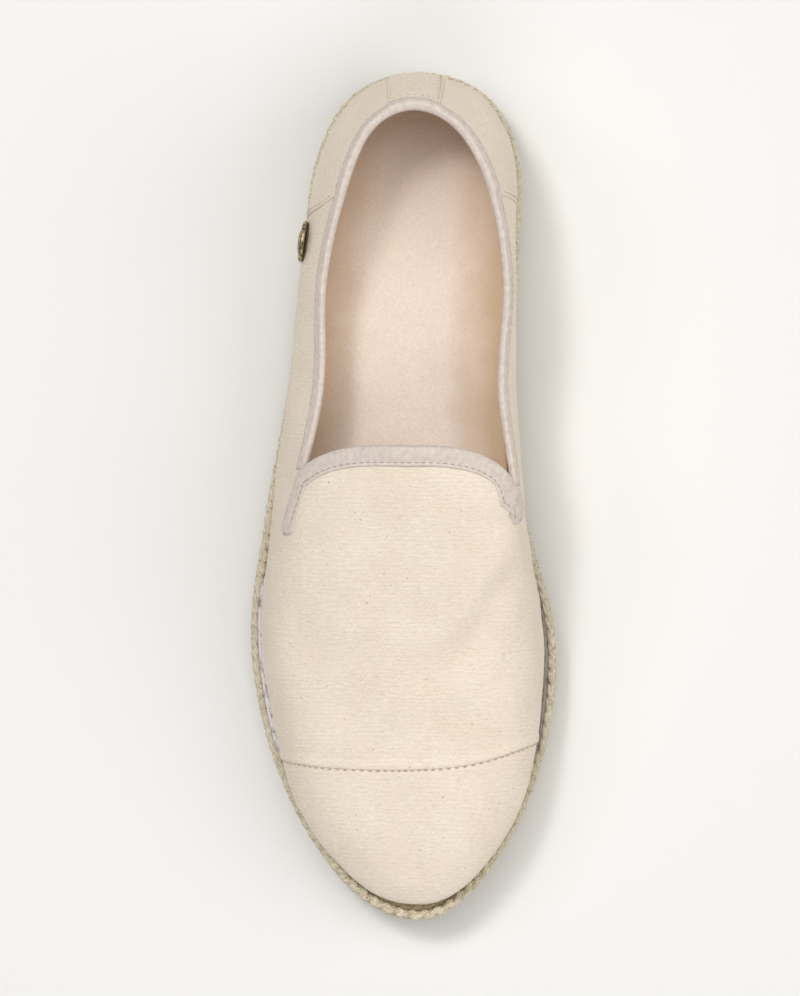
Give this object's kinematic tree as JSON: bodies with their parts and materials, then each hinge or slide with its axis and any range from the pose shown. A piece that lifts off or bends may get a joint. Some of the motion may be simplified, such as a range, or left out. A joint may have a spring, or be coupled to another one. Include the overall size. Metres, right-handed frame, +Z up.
{
  "type": "espadrille",
  "caption": "Slip-on canvas espadrille, right shoe: almond toe with a seamed cap, taped throat and collar, plaited jute sole, thin rubber outsole.",
  "frame": {"origin": "on the floor, under the middle of the shoe's bounding box", "axes": "+Z up, +Y along the shoe towards the heel (toe at -Y), +X towards the big-toe (medial) side"},
  "size_m": [0.0903, 0.25, 0.0714],
  "materials": {
    "rubber": "matt natural crepe rubber",
    "jute": "plaited natural jute rope",
    "suede": "pinkish beige suede",
    "canvas": "ecru cotton canvas with a fine rib",
    "tape": "grey-lilac folded cotton tape",
    "pewter": "metallic pewter leather",
    "bronze": "dark antiqued bronze"
  },
  "bodies": {
    "root": {"outsole": "rubber", "jute_sole": "jute", "insole": "suede", "upper": "canvas", "heel_stay": "canvas", "collar_binding": "tape", "throat_binding": "tape", "strip_lateral": "pewter", "strip_medial": "pewter", "badge": "bronze"}
  },
  "joints": []
}
